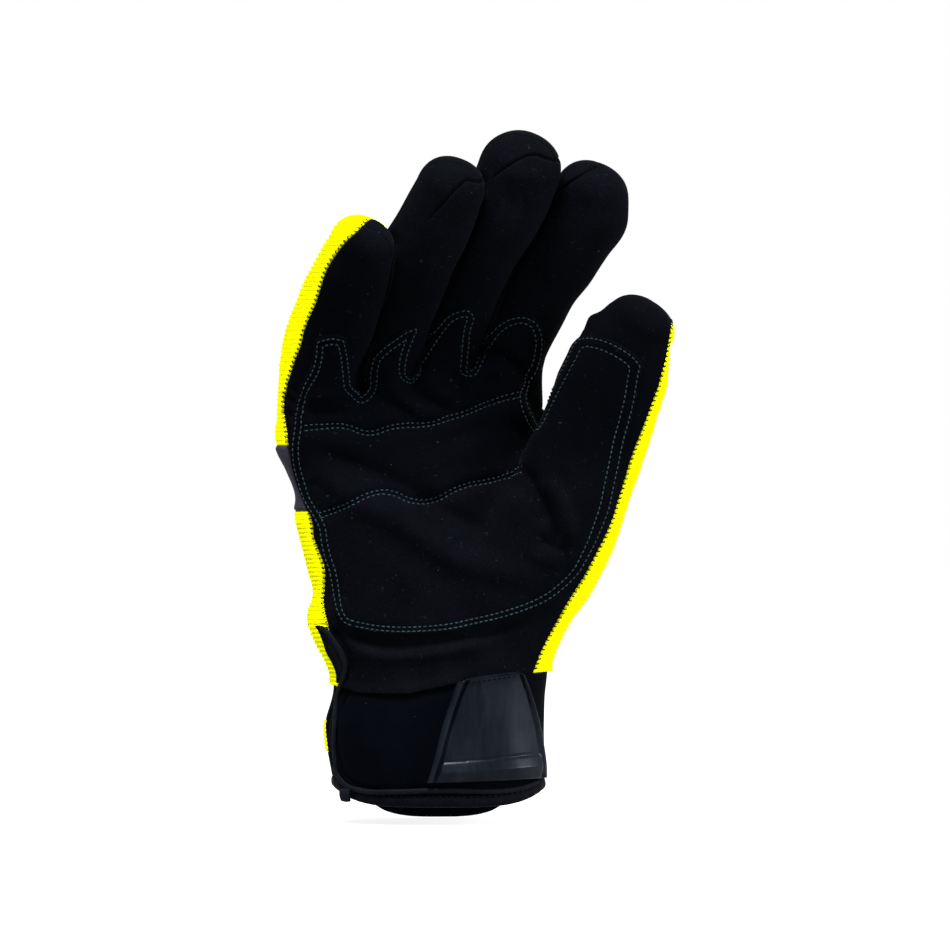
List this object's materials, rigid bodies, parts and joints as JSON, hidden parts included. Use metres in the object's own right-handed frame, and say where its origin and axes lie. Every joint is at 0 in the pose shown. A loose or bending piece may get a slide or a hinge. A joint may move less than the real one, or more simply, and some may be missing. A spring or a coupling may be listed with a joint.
{
  "type": "work glove",
  "caption": "Right-hand puncture-resistant work glove, open at the wrist, with suede palm, stitched palm reinforcement, knit back and bound wrist cuff.",
  "frame": {"origin": "centre of the wrist opening, level with the palm side's lower edge", "axes": "+Z from the wrist to the fingertips, +X to the thumb side, the palm faces -Y"},
  "size_m": [0.1445, 0.0704, 0.2491],
  "materials": {
    "suede": "matt synthetic suede, nearly black",
    "suede_patch": "matt synthetic suede overlay, nearly black",
    "yellow_knit": "high-visibility yellow ribbed knit",
    "dark_band": "dark woven band",
    "neoprene": "smooth neoprene with a fine knit face",
    "binding": "ribbed elastic binding, black",
    "moulded_rubber": "semi-gloss moulded rubber, dark grey"
  },
  "bodies": {
    "root": {"palm_panel": "suede", "reinforcement_patch": "suede_patch", "little_finger_palm_side": "suede", "little_finger_inner_wall": "suede", "little_finger_back": "yellow_knit", "ring_finger_palm_side": "suede", "ring_finger_inner_wall": "suede", "ring_finger_outer_wall": "suede", "ring_finger_back": "yellow_knit", "ring_finger_tip_wrap": "suede", "middle_finger_palm_side": "suede", "middle_finger_inner_wall": "suede", "middle_finger_outer_wall": "suede", "middle_finger_back": "yellow_knit", "middle_finger_tip_wrap": "suede", "index_finger_palm_side": "suede", "index_finger_outer_wall": "suede", "index_finger_back": "yellow_knit", "index_finger_tip_wrap": "suede", "thumb_palm_side": "suede", "thumb_back": "yellow_knit", "back_lower_panel": "yellow_knit", "knuckle_band": "dark_band", "back_upper_panel": "yellow_knit", "cuff_palm_side": "neoprene", "cuff_back": "neoprene", "cuff_hem": "neoprene", "cuff_binding": "binding", "closure_tab": "moulded_rubber", "pull_tab": "binding"}
  },
  "joints": []
}
